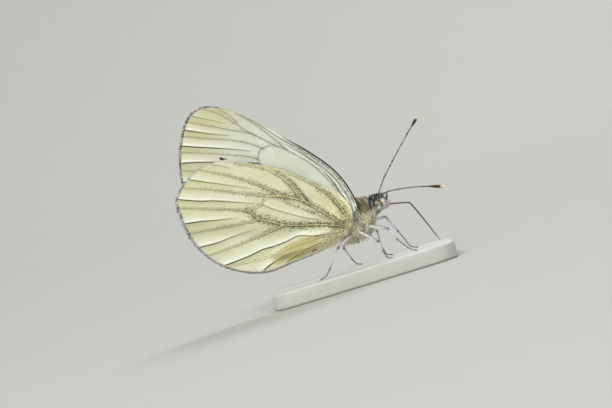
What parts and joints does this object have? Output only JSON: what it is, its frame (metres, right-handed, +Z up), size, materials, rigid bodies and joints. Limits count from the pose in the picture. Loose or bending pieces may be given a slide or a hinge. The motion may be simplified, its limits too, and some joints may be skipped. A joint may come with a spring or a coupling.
{
  "type": "green-veined white butterfly",
  "caption": "Still life-size white butterfly standing with closed, green-veined wings, clubbed feelers and its tongue lowered, on a thin plain base plate.",
  "frame": {"origin": "middle of the underside of the whole model's box, on the surface that the base plate stands on", "axes": "+X the way the head points, +Y to the butterfly's left, +Z up"},
  "size_m": [0.0312, 0.014, 0.0257],
  "materials": {
    "forewing": "matte",
    "hindwing": "matte",
    "fur": "matte",
    "collar": "matte",
    "head": "matte",
    "eye": "gloss",
    "palp": "matte",
    "feeler": "satin",
    "club": "satin",
    "proboscis": "satin",
    "femur": "satin",
    "shin": "satin",
    "foot": "satin",
    "stand": "satin"
  },
  "bodies": {
    "root": {"forewing_left": "forewing", "forewing_right": "forewing", "hindwing_left": "hindwing", "hindwing_right": "hindwing", "abdomen": "fur", "thorax": "fur", "neck": "collar", "head": "head", "eye_left": "eye", "palp_left": "palp", "antenna_left": "feeler", "club_left": "club", "eye_right": "eye", "palp_right": "palp", "antenna_right": "feeler", "club_right": "club", "proboscis_upper": "proboscis", "proboscis_lower": "proboscis", "femur_front_left": "femur", "tibia_front_left": "shin", "tarsus_front_left": "foot", "femur_front_right": "femur", "tibia_front_right": "shin", "tarsus_front_right": "foot", "femur_middle_left": "femur", "tibia_middle_left": "shin", "tarsus_middle_left": "foot", "femur_middle_right": "femur", "tibia_middle_right": "shin", "tarsus_middle_right": "foot", "femur_hind_left": "femur", "tibia_hind_left": "shin", "tarsus_hind_left": "foot", "femur_hind_right": "femur", "tibia_hind_right": "shin", "tarsus_hind_right": "foot", "stand_base": "stand"}
  },
  "joints": []
}
